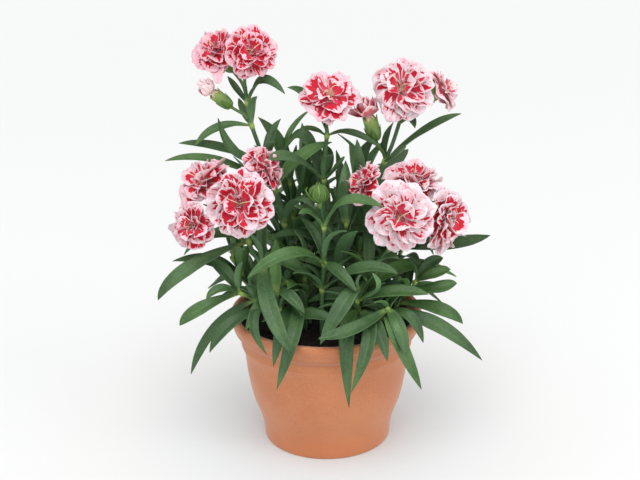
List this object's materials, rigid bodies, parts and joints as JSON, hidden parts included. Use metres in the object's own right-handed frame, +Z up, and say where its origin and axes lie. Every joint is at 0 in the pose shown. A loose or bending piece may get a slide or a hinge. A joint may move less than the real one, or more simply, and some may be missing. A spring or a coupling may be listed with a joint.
{
  "type": "potted dianthus plant",
  "caption": "Bushy flowering dianthus with narrow arched leaves and ruffled carnation heads, rooted in compost in a round lipped terracotta pot.",
  "frame": {"origin": "centre of the pot's flat underside", "axes": "+Z up the pot's axis, -Y towards the front of the plant, +X to the right seen from the front"},
  "size_m": [0.2172, 0.1723, 0.2829],
  "materials": {
    "terracotta": "matt unglazed fired clay",
    "compost": "matt, crumbly and near black",
    "greenery": "satin leaf with a waxy bloom",
    "petals": "soft matt petal, crimson on white pink"
  },
  "bodies": {
    "root": {"bloom_left_low_back": "petals", "bloom_left_low_front": "petals", "bloom_left_low_inner": "petals", "bloom_left_low_side": "petals", "bloom_left_tall_back": "petals", "bloom_left_tall_bud": "petals", "bloom_left_tall_front": "petals", "bloom_mid_tall": "petals", "bloom_right_low_front": "petals", "bloom_right_low_inner": "petals", "bloom_right_low_side": "petals", "bloom_right_low_top": "petals", "bloom_right_tall_back": "petals", "bloom_right_tall_bud": "petals", "bloom_right_tall_front": "petals", "pot": "terracotta", "shoot_back_left": "greenery", "shoot_back_mid": "greenery", "shoot_back_right": "greenery", "shoot_far_right": "greenery", "shoot_front_left": "greenery", "shoot_front_mid": "greenery", "shoot_front_right": "greenery", "shoot_inner_front": "greenery", "shoot_inner_left": "greenery", "shoot_inner_right": "greenery", "shoot_left": "greenery", "shoot_low_mid": "greenery", "shoot_rear_left": "greenery", "shoot_rear_right": "greenery", "shoot_right": "greenery", "shoot_right_front": "greenery", "soil": "compost", "stem_front_bud": "greenery", "stem_left_low": "greenery", "stem_left_tall": "greenery", "stem_mid_tall": "greenery", "stem_right_low": "greenery", "stem_right_tall": "greenery"}
  },
  "joints": []
}
